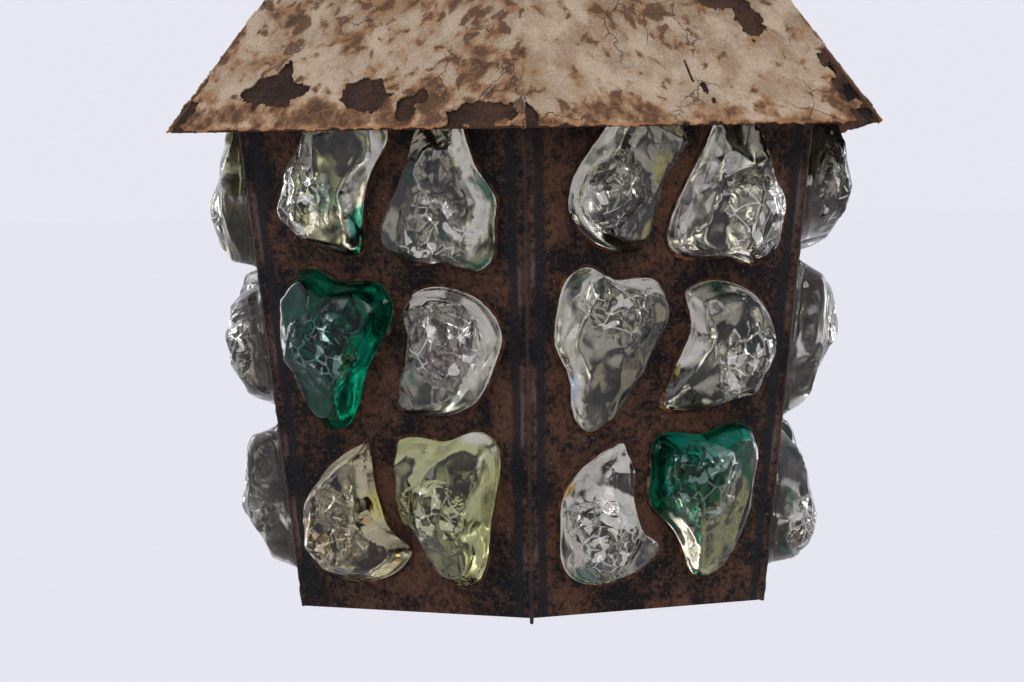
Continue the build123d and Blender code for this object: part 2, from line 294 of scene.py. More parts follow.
# Glass. Each nugget was cast in the shape of its cut-out, then its crown was chipped into
# big flat facets that meet in a crumpled star. It is bedded in from behind.
glass_draw = Random(11)
nugget_depth = 6
star_chips = 11
shoulder_chips = 5
crown_band = 0.006
crown_start = 0.004
crown_run = 0.006
crown_rise = 0.003
star_radius = 0.015
foot_height = 0.0035
back_level = -0.0042
shell_depth = 0.0042
crumple_depth = 0.0036
wave_depth = 0.0011
shapes = [f"{row}_{side}" for row in ("upper", "middle", "lower") for side in ("left", "right")]


def hollow_texture(name, size, metric):
    """Hollows of one size, for cutting into glass: round shells or flat-sided pits."""
    hollows = bpy.data.textures.new(name, "VORONOI")
    hollows.distance_metric = metric
    hollows.noise_scale = size
    return hollows


shells = hollow_texture("shells", 0.026, "DISTANCE_SQUARED")
crumples = hollow_texture("crumples", 0.019, "MANHATTAN")
waves = bpy.data.textures.new("waves", "CLOUDS")
waves.noise_scale = 0.018
waves.noise_depth = 1


def apply_all(piece):
    """Fixes every modifier into the mesh."""
    bpy.context.view_layer.objects.active = piece
    for modifier in list(piece.modifiers):
        bpy.ops.object.modifier_apply(modifier=modifier.name)


def push_out(piece, texture, strength, level, group=""):
    """Moves the surface in and out along its own direction, by a texture."""
    push = piece.modifiers.new("push", "DISPLACE")
    push.texture = texture
    push.texture_coords = "LOCAL"
    push.direction = "NORMAL"
    push.strength = strength
    push.mid_level = level
    push.vertex_group = group


def pick(piece):
    """Leaves one piece alone in the selection, ready to be worked on."""
    bpy.ops.object.select_all(action="DESELECT")
    piece.select_set(True)
    bpy.context.view_layer.objects.active = piece


def merged_copy(node, name):
    """A copy of a plain node's mesh, joined up and alone in the selection."""
    piece = bpy.data.objects.new(name, nodes[node].data.copy())
    scene.collection.objects.link(piece)
    pick(piece)
    bpy.ops.object.mode_set(mode="EDIT")
    bpy.ops.mesh.select_all(action="SELECT")
    bpy.ops.mesh.remove_doubles(threshold=0.00002)
    bpy.ops.object.mode_set(mode="OBJECT")
    return piece


def chip_off(point, cut, foot):
    """Cuts the piece in hand off at a plane, but never into the foot of its crown."""
    lowest = max((corner - point).dot(cut) for corner in foot) + 0.0005
    bpy.ops.mesh.select_all(action="SELECT")
    bpy.ops.mesh.bisect(
        plane_co=point + cut * max(0.0, lowest), plane_no=cut, use_fill=True, clear_outer=True
    )


def carve_nugget(name, place):
    """Chips a plain nugget's crown into facets and crumples the middle of it."""
    outward, sideways, upward, reach = side_frame(f"panel_{place + 1}", place)
    piece = merged_copy(name, "cut_" + name)
    points = [vertex.co.copy() for vertex in piece.data.vertices]
    high = max(point.dot(outward) for point in points)
    crown = [point for point in points if point.dot(outward) > high - crown_band]
    centre = sum(crown, Vector()) / len(crown)
    centre += outward * (high - centre.dot(outward))
    foot = [point for point in points if point.dot(outward) < reach + foot_height]
    bpy.ops.object.mode_set(mode="EDIT")
    first_turn = glass_draw.uniform(0, 2 * math.pi)
    for chip in range(star_chips):
        angle = first_turn + (chip + glass_draw.uniform(-0.3, 0.3)) * 2 * math.pi / star_chips
        away = sideways * math.cos(angle) + upward * math.sin(angle)
        slant = math.radians(glass_draw.uniform(6, 23))
        point = centre + away * glass_draw.uniform(0.002, 0.012)
        point -= outward * glass_draw.uniform(0, 0.0010)
        chip_off(point, away * math.sin(slant) + outward * math.cos(slant), foot)
    for chip in range(shoulder_chips):
        angle = glass_draw.uniform(0, 2 * math.pi)
        away = sideways * math.cos(angle) + upward * math.sin(angle)
        slant = math.radians(glass_draw.uniform(42, 62))
        cut = away * math.sin(slant) + outward * math.cos(slant)
        edge = max((point - centre).dot(cut) for point in points)
        chip_off(centre + cut * (edge - glass_draw.uniform(0.002, 0.006)), cut, foot)
    bpy.ops.object.mode_set(mode="OBJECT")
    cells = piece.modifiers.new("cells", "REMESH")
    cells.mode = "SHARP"
    cells.octree_depth = nugget_depth
    cells.use_remove_disconnected = True
    cells.threshold = 1.0
    eased = piece.modifiers.new("eased", "SMOOTH")
    eased.factor = 0.5
    eased.iterations = 3
    apply_all(piece)
    crown_group = piece.vertex_groups.new(name="crown")
    star_group = piece.vertex_groups.new(name="star")
    back_group = piece.vertex_groups.new(name="back")
    crumpled = []
    for vertex in piece.data.vertices:
        height = vertex.co.dot(outward) - reach
        share = min(1.0, max(0.0, (height - crown_start) / crown_run))
        vertex.co += outward * share * crown_rise
        spread = vertex.co - centre
        spread -= outward * spread.dot(outward)
        inner = min(1.0, max(0.0, 1.6 - spread.length / star_radius))
        crown_group.add([vertex.index], share, "REPLACE")
        star_group.add([vertex.index], share * inner, "REPLACE")
        crumpled.append(share * inner)
        back_group.add([vertex.index], 1.0 if height < back_level else 0.0, "REPLACE")
    push_out(piece, shells, shell_depth, 0.10, "crown")
    push_out(piece, crumples, crumple_depth, 0.45, "star")
    push_out(piece, waves, wave_depth, 0.5, "back")
    apply_all(piece)
    crumpling = piece.data.attributes.new("crumpling", "FLOAT", "POINT")
    crumpling.data.foreach_set("value", crumpled)
    bpy.ops.object.shade_smooth_by_angle(angle=math.radians(28))
    return piece


def cast_glass(name, tint, stains, place):
    """Thick glass with smoke and stains in it; where it is crumpled, painted glints and bright crease
    lines stand in for highlights, and the other creases get painted shade.
    """
    glass = Finish(name, IOR=1.3 if max(tint) < 0.2 else 1.42)
    glass.put("Specular IOR Level", 0.15)
    glass.put("Transmission Weight", 1.0)
    smoke = glass.noise(0.016, 3, 0.5, distortion=1.2)
    dusk = tuple(part * 0.66 for part in tint)
    colour = glass.mix(glass.step(smoke, 0.38, 0.62), tint, dusk)
    outward, sideways, upward, reach = side_frame(f"panel_{place + 1}", place)
    corner = outward * reach
    corner += upward * ((roof_low.z - corner.z) / upward.z)
    wander = glass.noise(0.012, 3, 0.5, distortion=0.8)
    for stain, across, up, radius in stains:
        heart = corner + sideways * across + upward * up
        gap = glass.node("VectorMath", {"operation": "DISTANCE"}, {0: glass.place(), 1: heart}, 1)
        spread = gap * (1 / radius) + (wander - 0.5) * 1.1
        colour = glass.mix(1 - glass.step(spread, 0.72, 1.1), colour, stain)
    tipped = glass.node(
        "Mapping", {}, {"Vector": glass.place(), "Rotation": (0.6, 0.35, 0.9)}
    )
    bent = glass.node("TexNoise", {}, {"Vector": tipped, "Scale": 40, "Detail": 0}, 1)
    warped = glass.node("VectorMath", {"operation": "SCALE"}, {0: bent, "Scale": 0.012})
    warped = glass.node("VectorMath", {"operation": "ADD"}, {0: tipped, 1: warped})
    flats = glass.node("TexVoronoi", {"distance": "MANHATTAN"}, {"Vector": warped, "Scale": 60})
    shards = glass.node("TexVoronoi", {"distance": "MANHATTAN"}, {"Vector": warped, "Scale": 150})
    glint_cells = glass.node("TexVoronoi", {"distance": "MANHATTAN"}, {"Vector": warped, "Scale": 190}, 1)
    glint_cell = glass.node("SeparateXYZ", {}, {"Vector": glint_cells})
    creases = glass.node(
        "TexVoronoi", {"feature": "DISTANCE_TO_EDGE"}, {"Vector": warped, "Scale": 105}
    )
    crumpling = glass.node("Attribute", {"attribute_name": "crumpling"}, {}, 2)
    zone = glass.step(crumpling + (wander - 0.5) * 1.1, 0.30, 0.70)
    crease = (1 - glass.step(creases, 0.015, 0.055)) * zone
    # Painted highlights: glints in scattered cells and bright lines along some creases are made
    # mirror-like, and they are brightened in the base colour below.
    lit = glass.step(smoke, 0.44, 0.52)
    painted_glint = glass.step(glint_cell, 0.81, 0.85) * zone * 0.62 + crease * lit * 0.55
    # Painted shade: the creases that get no painted highlight are darkened to thin dark lines.
    colour = glass.mix(crease * (1 - lit) * 0.75, colour, tuple(part * 0.08 for part in tint))
    colour = glass.mix(painted_glint, colour, tuple(0.85 * part + 0.28 for part in tint))
    glass.put("Base Color", colour)
    glass.put("Metallic", painted_glint)
    glass.put("Roughness", 0.05 + glass.step(1 - smoke, 0.42, 0.62) * 0.13)
    glass.bump(flats * (0.25 + zone * 0.65) + shards * zone * 0.20, 0.0020, 0.85)
    return glass


slots = {part["node"]: part["material_slot"] for part in frame["record"]["subparts"]}
tints = {
    "glass_clear": (0.62, 0.60, 0.52),
    "glass_green": (0.0008, 0.115, 0.065),
    "glass_olive": (0.44, 0.45, 0.22),
    "glass_amber": (0.52, 0.47, 0.31),
}
emerald = (0.01, 0.22, 0.14)
sea_green = (0.16, 0.38, 0.28)
yellow = (0.62, 0.55, 0.10)
straw = (0.70, 0.62, 0.30)
amber = (0.50, 0.26, 0.05)
lilac = (0.46, 0.34, 0.42)
bluish = (0.30, 0.40, 0.62)
mossy = (0.40, 0.42, 0.16)
clear = (0.62, 0.60, 0.52)
stain_places = {
    "glass_6_upper_left": (
        (emerald, -0.050, -0.012, 0.010), (emerald, -0.010, -0.045, 0.011),
        (emerald, -0.022, -0.060, 0.010), (sea_green, -0.036, -0.030, 0.010),
    ),
    "glass_6_upper_right": (
        (sea_green, 0.012, -0.062, 0.010), (sea_green, 0.050, -0.064, 0.009),
        (sea_green, 0.056, -0.030, 0.008),
    ),
    "glass_6_middle_right": (
        (lilac, 0.034, -0.104, 0.014), (emerald, 0.011, -0.118, 0.007),
    ),
    "glass_6_lower_left": (
        (amber, -0.050, -0.196, 0.009), (yellow, -0.020, -0.180, 0.010),
        (amber, -0.014, -0.200, 0.008),
    ),
    "glass_6_lower_right": ((mossy, 0.030, -0.190, 0.016), (clear, 0.040, -0.150, 0.010)),
    "glass_1_upper_left": ((yellow, -0.006, -0.022, 0.010), (yellow, -0.014, -0.046, 0.009)),
    "glass_1_middle_left": ((bluish, -0.048, -0.122, 0.007), (sea_green, -0.012, -0.098, 0.007)),
    "glass_1_middle_right": ((yellow, 0.010, -0.120, 0.006), (sea_green, 0.020, -0.134, 0.008)),
    "glass_1_lower_left": ((amber, -0.048, -0.172, 0.006),),
    "glass_1_lower_right": ((clear, 0.036, -0.200, 0.037), (clear, 0.050, -0.163, 0.014)),
    "glass_5_upper_right": ((clear, 0.030, -0.035, 0.030), (straw, 0.034, -0.058, 0.012)),
    "glass_2_lower_right": ((clear, 0.030, -0.205, 0.022),),
}

for place in range(6):
    for shape in shapes:
        name = f"glass_{place + 1}_{shape}"
        nugget = carve_nugget(name, place)
        stains = stain_places.get(name, ())
        dress(nugget, cast_glass(name + "_finish", tints[slots[name]], stains, place))
        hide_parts(name)
        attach(nugget, "lantern")

# Rust rims. Water sits in the joint between iron and glass, so a crust of orange-brown
# rust and old cement has grown all round every cut-out.
rim_radius = 0.0010
rim_lump = 0.0012
rim_lumps = bpy.data.textures.new("rim_lumps", "CLOUDS")
rim_lumps.noise_scale = 0.0035


def rust_rim(place):
    """A lumpy bead along the outer edges of one panel's cut-outs."""
    node = f"panel_{place + 1}"
    outward, sideways, upward, reach = side_frame(node, place)
    source = merged_copy(node, "rim_source")
    mesh = source.data
    points = [vertex.co.copy() for vertex in mesh.vertices]
    on_face = [point.dot(outward) > reach - 0.0001 for point in points]
    face = face_points(node, outward, reach)
    low = min(point.dot(upward) for point in face)
    high = max(point.dot(upward) for point in face)
    low_half = max(abs(p.dot(sideways)) for p in face if p.dot(upward) < low + 0.0005)
    high_half = max(abs(p.dot(sideways)) for p in face if p.dot(upward) > high - 0.0005)

    def inside(point):
        share = (point.dot(upward) - low) / (high - low)
        half = low_half + (high_half - low_half) * share
        clear_of_ends = 0.001 < point.dot(upward) - low < high - low - 0.001
        return clear_of_ends and abs(point.dot(sideways)) < half - 0.001

    faces_at = {}
    for face in mesh.polygons:
        for key in face.edge_keys:
            faces_at.setdefault(key, []).append(face.normal)
    bpy.ops.object.mode_set(mode="EDIT")
    bpy.ops.mesh.select_all(action="DESELECT")
    bpy.ops.mesh.select_mode(type="EDGE")
    bpy.ops.object.mode_set(mode="OBJECT")
    for edge in mesh.edges:
        first, second = edge.vertices
        sharp = len(faces_at[edge.key]) == 2 and faces_at[edge.key][0].dot(faces_at[edge.key][1]) < 0.5
        edge.select = sharp and on_face[first] and on_face[second] and inside(points[first])
    bpy.ops.object.mode_set(mode="EDIT")
    bpy.ops.mesh.separate(type="SELECTED")
    bpy.ops.object.mode_set(mode="OBJECT")
    rim = next(piece for piece in bpy.context.selected_objects if piece != source)
    bpy.data.objects.remove(source)
    rim.name = f"rust_rim_{place + 1}"
    pick(rim)
    bpy.ops.object.convert(target="CURVE")
    rim.data.bevel_depth = rim_radius
    rim.data.bevel_resolution = 2
    bpy.ops.object.convert(target="MESH")
    finer = rim.modifiers.new("finer", "SUBSURF")
    finer.levels = 1
    finer.render_levels = 1
    push_out(rim, rim_lumps, rim_lump, 0.5)
    apply_all(rim)
    bpy.ops.object.shade_smooth()
    return rim


crust = Finish("rust_crust", Roughness=0.9)
crust.put("Specular IOR Level", 0.1)
lumps = crust.noise(0.0045, 4, 0.65)
long_patches = crust.noise(0.02, 2, 0.5)
colour = crust.mix(crust.step(lumps, 0.38, 0.60), (0.014, 0.010, 0.009), (0.070, 0.028, 0.014))
fresh = crust.step(lumps * 0.6 + long_patches * 0.4, 0.55, 0.68)
colour = crust.mix(fresh, colour, (0.22, 0.095, 0.035))
crust.put("Base Color", colour)
crust.bump(lumps, 0.0005, 0.8)
for place in range(6):
    rim = rust_rim(place)
    dress(rim, crust)
    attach(rim, "lantern")

# Roof iron. Six plates welded along the ridges. Where the paint has come off they show
# dark brown, with a bloom of rust; the ridges and the eave edge are rusted rough.
plate = Finish("roof_iron")
plate.put("Specular IOR Level", 0.09)
colour, patches, grain = rusty_iron(plate)
plate.put("Base Color", plate.mix(0.45, colour, (0.050, 0.028, 0.019)))
plate.put("Roughness", 0.62 + grain * 0.2)
plate.bump(grain, 0.0006, 0.8)
for place in range(6):
    dress(nodes[f"roof_side_{place + 1}"], plate)

# Roof paint. Thick old cream paint, gone hard and brittle. It has cracked, curled up and
# dropped off in plates, and rust has bled through it in spots and all along the eave.
paint_draw = Random(5)
paint_cell = 0.0013
paint_thickness = 0.0006
paint_curl = 0.0011
eave_crust = 1.5
feel = 0.35
side_gap = 61.0
cap_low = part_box("roof_cap")[0]

# Places where the paint is off, in millimetres from the middle of a side's eave edge:
# across, up, half width and half height. The two front sides have most of them listed.
front_sides = (0, 5)
well_known_chips = {
    1: ((-98, 6, 12, 13), (-93, 22, 9, 14), (-84, 40, 7, 12)),
    4: ((98, 8, 10, 15), (92, 28, 6, 16), (82, 54, 5, 12)),
    5: (
        (-46, 22, 19, 11), (-43, 33, 5, 7), (6, 19, 15, 13), (32, 11, 7, 8), (38, 17, 4, 5),
        (74, 7, 21, 8), (62, 3, 6, 6), (-97, 10, 10, 18), (-91, 30, 5, 16), (-80, 66, 4, 13),
        (-74, 78, 4, 9),
    ),
    0: (
        (36, 74, 15, 10), (46, 60, 8, 15), (22, 80, 6, 9), (50, 90, 15, 18), (6, 20, 2.4, 3.8),
        (8, 12, 1.8, 2.4), (1, 29, 1.0, 8), (97, 5, 16, 10), (93, 20, 15, 16), (85, 36, 10, 12),
        (-94, 6, 6, 8),
    ),
}


def chips_for(place, length, half_eave, half_top):
    """A side's lost patches: the well known ones, or a few big and many small."""
    chips = list(well_known_chips.get(place, ()))
    for _ in range(6 if place in front_sides else 13):
        up = paint_draw.choice((6, 10, 18, 90, 130, 170)) + paint_draw.uniform(-6, 24)
        if place in front_sides:
            up = paint_draw.uniform(100, length)
        half = half_eave + (half_top - half_eave) * up / length
        across = paint_draw.uniform(-half, half)
        size = paint_draw.uniform(3, 15)
        chips.append((across, up, size, size * paint_draw.uniform(0.5, 1.1)))
    return chips


# How much painted shade each side's paint gets, darker on the sides away from the key light,
# and the stains that stand out on it, in millimetres: across, up, radius and depth of colour.
side_painted_shade = (0.0, 0.03, 0.05, 0.04, 0.07, 0.09)
well_known_stains = {
    5: (
        (-47, 58, 9, 0.16), (-90, 10, 12, 0.10), (-19, 12, 12, 0.22), (21, 12, 7, 0.18),
        (44, 14, 12, 0.22), (-62, 40, 7, 0.15), (26, 66, 10, 0.18), (60, 36, 12, 0.16),
        (-10, 50, 8, 0.16), (50, 62, 8, 0.15),
    ),
    0: (
        (-52, 12, 15, 0.20), (-62, 27, 7, 0.18), (-33, 24, 9, 0.17), (-30, 8, 12, 0.20),
        (-8, 24, 4, 0.22), (34, 10, 8, 0.22), (18, 11, 6, 0.18), (72, 18, 12, 0.20),
        (80, 10, 14, 0.20), (66, 34, 5, 0.20), (-36, 66, 6, 0.20), (3, 66, 14, 0.09),
    ),
}


def stains_for(place, length, half_eave, half_top):
    """A side's standing stains: the well known ones, or a dozen here and there."""
    stains = list(well_known_stains.get(place, ()))
    for _ in range(14 if place in front_sides else 16):
        up = paint_draw.uniform(60 if place in front_sides else 5, length)
        half = half_eave + (half_top - half_eave) * up / length
        across = paint_draw.uniform(-half, half)
        stains.append((across, up, paint_draw.uniform(5, 13), paint_draw.uniform(0.12, 0.22)))
    return stains


def paint_loss(across, up, half, place, chips):
    """How far the paint has failed at a point: above 0 it has come off."""
    spot = Vector((across, up, side_gap * place))
    ragged = noise.noise(spot / 6.5) * 0.42 + noise.noise(spot / 2.1) * 0.20
    loss = noise.noise(spot / 26) * 0.95 + noise.noise(spot / 9) * 0.4 + ragged * 0.3 - 0.86
    lip = (0.1 + noise.noise(spot / 9) * 1.5 + ragged * 1.5 - up) / 4
    ridge_gap = half - abs(across)
    ridge = (noise.noise(Vector((up / 17, place, across > 0))) * 3.4 + ragged - 0.9 - ridge_gap) / 5
    loss = max(loss, lip, ridge)
    for chip_across, chip_up, half_wide, half_high in chips:
        far = math.hypot((across - chip_across) / half_wide, (up - chip_up) / half_high)
        if far < 2:
            loss = max(loss, (0.88 - far + ragged) * 0.7)
    return loss


def paint_film(place):
    """One side's paint: a fine sheet with its lost patches cut out and its edges curled."""
    node = f"roof_side_{place + 1}"
    outward, sideways, upward, reach = side_frame(node, place)
    face = face_points(node, outward, reach)
    eave_up = min(point.dot(upward) for point in face)
    full_up = max(point.dot(upward) for point in face) - eave_up
    half_eave = max(abs(p.dot(sideways)) for p in face) * 1000
    half_top = max(abs(p.dot(sideways)) for p in face if p.dot(upward) > eave_up + full_up * 0.99)
    half_top *= 1000
    full_length = full_up * 1000
    length = (cap_low.z - 0.0005 - roof_low.z) / upward.z * 1000
    chips = chips_for(place, length, half_eave, half_top)

    def half_at(up):
        return half_eave + (half_top - half_eave) * up / full_length + 0.5

    columns = int(2 * half_eave / 1000 / paint_cell)
    rows = int(length / 1000 / paint_cell)
    bpy.ops.object.select_all(action="DESELECT")
    bpy.ops.mesh.primitive_grid_add(x_subdivisions=columns, y_subdivisions=rows, size=1)
    film = bpy.context.object
    film.name = f"roof_paint_{place + 1}"
    mesh = film.data
    spots = []
    losses = []
    for vertex in mesh.vertices:
        up = (vertex.co.y + 0.5) * length
        half = half_at(up)
        across = vertex.co.x * 2 * half
        spots.append([across, up])
        losses.append(paint_loss(across, up, half, place, chips))
    kept = set()
    dropped = set()
    lost_faces = set()
    for polygon in mesh.polygons:
        lost = sum(losses[index] for index in polygon.vertices) > 0
        (dropped if lost else kept).update(polygon.vertices)
        if lost:
            lost_faces.add(polygon.index)
    for index in kept & dropped:
        across, up = spots[index]
        half = half_at(up)
        slope = Vector(
            (
                paint_loss(across + feel, up, half, place, chips)
                - paint_loss(across - feel, up, half, place, chips),
                paint_loss(across, up + feel, half, place, chips)
                - paint_loss(across, up - feel, half, place, chips),
            )
        ) / (2 * feel)
        if slope.length > 0.01:
            shift = slope * (-losses[index] / slope.length_squared)
            shift *= min(1, 0.8 / max(shift.length, 0.001))
            spots[index] = [across + shift.x, max(0, up + shift.y)]
    fading = mesh.attributes.new("fading", "FLOAT", "POINT")
    stain_and_shade = mesh.attributes.new("stain_and_shade", "FLOAT", "POINT")
    stains = stains_for(place, length, half_eave, half_top)
    for vertex, (across, up), loss in zip(mesh.vertices, spots, losses):
        near = min(1.0, max(0.0, 1 + loss * 4))
        spot = Vector((across, up, side_gap * place))
        curl = near * near * (0.5 + noise.noise(spot / 11)) * paint_curl
        swell = noise.noise(spot / 13) * 0.00035 + noise.noise(spot / 3.3) * 0.00016
        height = paint_thickness * 0.9 + max(0, curl) + swell
        if up < paint_cell * 1000:
            crust = noise.noise(Vector((across / 4.5, place, 0.5)))
            crust += noise.noise(Vector((across / 1.7, place, 3.5))) * 0.6
            up -= max(0, 0.25 + crust) * eave_crust * (1 - up / (paint_cell * 1000))
        vertex.co = outward * (reach + height) + sideways * (across / 1000)
        vertex.co += upward * (eave_up + up / 1000)
        fading.data[vertex.index].value = near
        # Each point starts from its side's painted shade, darker away from the key light, and the real
        # stains near it are added on top.
        stain = side_painted_shade[place]
        for stain_across, stain_up, radius, depth in stains:
            far = math.hypot(across - stain_across, up - stain_up) / radius
            if far < 1.5:
                stain += depth * max(0.0, 1.1 - far)
        stain_and_shade.data[vertex.index].value = stain
    bpy.ops.object.mode_set(mode="EDIT")
    bpy.ops.mesh.select_mode(type="FACE")
    bpy.ops.object.mode_set(mode="OBJECT")
    for polygon in mesh.polygons:
        polygon.select = polygon.index in lost_faces
    bpy.ops.object.mode_set(mode="EDIT")
    bpy.ops.mesh.delete(type="FACE")
    bpy.ops.object.mode_set(mode="OBJECT")
    body = film.modifiers.new("body", "SOLIDIFY")
    body.thickness = paint_thickness
    body.offset = -1
    apply_all(film)
    bpy.ops.object.shade_smooth_by_angle(angle=math.radians(40))
    return film


def wandering(finish, amount):
    """The surface's place, pushed about so that straight patterns wander."""
    push = finish.node("TexNoise", {}, {"Vector": finish.place(), "Scale": 120, "Detail": 3}, 1)
    push = finish.node("VectorMath", {"operation": "SCALE"}, {0: push, "Scale": amount})
    return finish.node("VectorMath", {"operation": "ADD"}, {0: finish.place(), 1: push})


def old_paint(name):
    """Cream paint: grimy, stained brown in spots, darker with its side's painted shade, and orange
    where rust has bled.
    """
    paint = Finish(name, Roughness=0.72)
    paint.put("Specular IOR Level", 0.25)
    height = paint.node("SeparateXYZ", {}, {"Vector": paint.place()}, 2) - roof_low.z
    broad = paint.noise(0.050, 3, 0.5)
    cloudy = paint.noise(0.015, 4, 0.6)
    mottled = paint.noise(0.0052, 3, 0.6)
    grain = paint.noise(0.0011, 3, 0.7)
    fading = paint.node("Attribute", {"attribute_name": "fading"}, {}, 2)
    # The attribute read here carries the real stains, plus each roof side's painted shade, which is
    # darker on the sides away from the key light.
    stain_and_shade = paint.node("Attribute", {"attribute_name": "stain_and_shade"}, {}, 2)
    colour = paint.mix(paint.step(cloudy, 0.36, 0.64), (0.455, 0.355, 0.245), (0.335, 0.240, 0.150))
    higher = paint.step(height, 0.02, 0.07)
    drab = paint.step(broad * 0.5 + cloudy * 0.5, 0.40, 0.60) * (0.35 + higher * 0.6)
    drab = drab + stain_and_shade * higher
    colour = paint.mix(drab, colour, (0.215, 0.138, 0.074))
    lower = 1 - paint.step(height + (broad - 0.5) * 0.03, 0.002, 0.018)
    bleeding = cloudy * 0.50 + mottled * 0.30 + broad * 0.2 + lower * 0.12 + fading * 0.04
    bleeding = bleeding + stain_and_shade * 0.62
    colour = paint.mix(paint.step(bleeding, 0.545, 0.625) * 0.62, colour, (0.36, 0.175, 0.062))
    colour = paint.mix(paint.step(bleeding, 0.575, 0.700) * 0.92, colour, (0.125, 0.052, 0.020))
    scorched = paint.step(bleeding + (mottled - 0.5) * 0.3, 0.66, 0.78)
    colour = paint.mix(scorched * 0.7, colour, (0.050, 0.024, 0.012))
    spots = paint.noise(0.0075, 2, 0.5, distortion=0.5) * 0.8 + broad * 0.25 + higher * 0.055
    spots = spots + stain_and_shade * 0.50
    colour = paint.mix(paint.step(spots, 0.618, 0.665) * 0.65, colour, (0.24, 0.120, 0.048))
    colour = paint.mix(paint.step(spots, 0.648, 0.705) * 0.88, colour, (0.088, 0.042, 0.020))
    edge = 1 - paint.step(height + (mottled - 0.5) * 0.004, 0.0004, 0.0026)
    colour = paint.mix(edge * 0.85, colour, (0.40, 0.165, 0.055))
    colour = paint.mix(paint.step(grain, 0.52, 0.72) * 0.55, colour, (0.10, 0.070, 0.045))
    clean = 1 - paint.step(bleeding, 0.56, 0.62)
    colour = paint.mix(paint.step(1 - grain, 0.54, 0.70) * clean * 0.40, colour, (0.60, 0.53, 0.43))
    crazing = paint.node(
        "TexVoronoi",
        {"feature": "DISTANCE_TO_EDGE"},
        {"Vector": wandering(paint, 0.011), "Scale": 38},
    )
    cracks = (1 - paint.step(crazing, 0.003, 0.015)) * paint.step(broad, 0.54, 0.60)
    colour = paint.mix(cracks * 0.8, colour, (0.055, 0.035, 0.024))
    paint.put("Base Color", colour)
    paint.bump(grain * 0.35 + mottled * 0.75 - cracks * 0.35, 0.0017, 0.95)
    return paint


aged_paint = old_paint("roof_paint")
for place in range(6):
    film = paint_film(place)
    dress(film, aged_paint)
    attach(film, "lantern")
dress(nodes["roof_cap"], aged_paint)

# Torn tip. At the right-hand end of the front eave the iron has rusted right through: there
# are ragged holes beside the ridge, and a scrap of it hangs below the edge. The holes are
# in millimetres, as the lost patches are.
torn_node = "roof_side_1"
torn_holes = ((86.5, 15, 4.2, 9.5), (91, 4, 3.0, 3.2), (82, 31, 1.6, 4.5))
scrap_across = 0.084
scrap_width = 0.022
scrap_hang = 0.0042
cutter_depth = 0.004
outward, sideways, upward, reach = side_frame(torn_node, 0)
torn_face = face_points(torn_node, outward, reach)
torn_eave = outward * reach + upward * min(point.dot(upward) for point in torn_face)
torn = merged_copy(torn_node, "torn_roof_side")
for across, up, half_wide, half_high in torn_holes:
    middle = torn_eave + sideways * (across / 1000) + upward * (up / 1000)
    bpy.ops.object.select_all(action="DESELECT")
    bpy.ops.mesh.primitive_ico_sphere_add(subdivisions=3, radius=1)
    cutter = bpy.context.object
    for vertex in cutter.data.vertices:
        spot = vertex.co * (1 + noise.noise(vertex.co * 2.5 + Vector((across, up, 0))) * 0.8)
        vertex.co = middle + sideways * (spot.x * half_wide / 1000)
        vertex.co += upward * (spot.y * half_high / 1000) + outward * (spot.z * cutter_depth)
    hole = torn.modifiers.new("hole", "BOOLEAN")
    hole.operation = "DIFFERENCE"
    hole.object = cutter
    apply_all(torn)
    bpy.data.objects.remove(cutter)
dress(torn, plate)
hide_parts(torn_node)
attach(torn, "lantern")

bpy.ops.object.select_all(action="DESELECT")
bpy.ops.mesh.primitive_grid_add(x_subdivisions=14, y_subdivisions=8, size=1)
scrap = bpy.context.object
scrap.name = "torn_scrap"
for vertex in scrap.data.vertices:
    hang = 0.5 - vertex.co.y
    across = scrap_across + vertex.co.x * scrap_width * (1 - 0.25 * hang)
    ragged = 0.55 - vertex.co.x + noise.noise(Vector((vertex.co.x * 6, 7, 0))) * 0.5
    vertex.co = torn_eave + sideways * across - outward * (0.0006 + hang * 0.0015)
    vertex.co.z -= hang * scrap_hang * ragged
scrap_iron = scrap.modifiers.new("iron", "SOLIDIFY")
scrap_iron.thickness = 0.0008
apply_all(scrap)
dress(scrap, plate)
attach(scrap, "lantern")

# Corner welds. The panels and the roof plates were run together with a thin bead of weld,
# hardly dressed. At the front corner a drip of it hangs below the bottom edge, and along the
# other ridges the paint on the weld is rusted through near the eave.
weld_radius = 0.0011
weld_sunk = 0.7
weld_step = 0.0025
weld_lump = 0.0016
drip_reach = 0.002
long_drip = 0.0030
short_drip = 0.0003
rust_reach = 0.06
weld_lumps = bpy.data.textures.new("weld_lumps", "CLOUDS")
weld_lumps.noise_scale = 0.006


def face_corners(node, place):
    """The low and the high end of a side's right-hand edge, seen from outside."""
    outward, sideways, upward, reach = side_frame(node, place)
    face = face_points(node, outward, reach)
    low = min(point.dot(upward) for point in face)
    high = max(point.dot(upward) for point in face)
    bottom = [point for point in face if point.dot(upward) < low + 0.0005]
    top = [point for point in face if point.dot(upward) > high - 0.0005]
    return max(bottom, key=lambda p: p.dot(sideways)), max(top, key=lambda p: p.dot(sideways))


def split_lengthwise(piece, along, cuts):
    """Cuts every edge that runs in one direction into equal lengths."""
    bpy.ops.object.mode_set(mode="EDIT")
    bpy.ops.mesh.select_mode(type="EDGE")
    bpy.ops.mesh.select_all(action="DESELECT")
    bpy.ops.object.mode_set(mode="OBJECT")
    for edge in piece.data.edges:
        first, second = (piece.data.vertices[index].co for index in edge.vertices)
        edge.select = abs((first - second).normalized().dot(along)) > 0.9
    bpy.ops.object.mode_set(mode="EDIT")
    bpy.ops.mesh.subdivide(number_cuts=cuts)
    bpy.ops.object.mode_set(mode="OBJECT")


def settle(name):
    """Names the piece just added, and fixes its place and turn into its mesh."""
    piece = bpy.context.object
    piece.name = name
    bpy.ops.object.transform_apply(location=True, rotation=True, scale=True)
    return piece


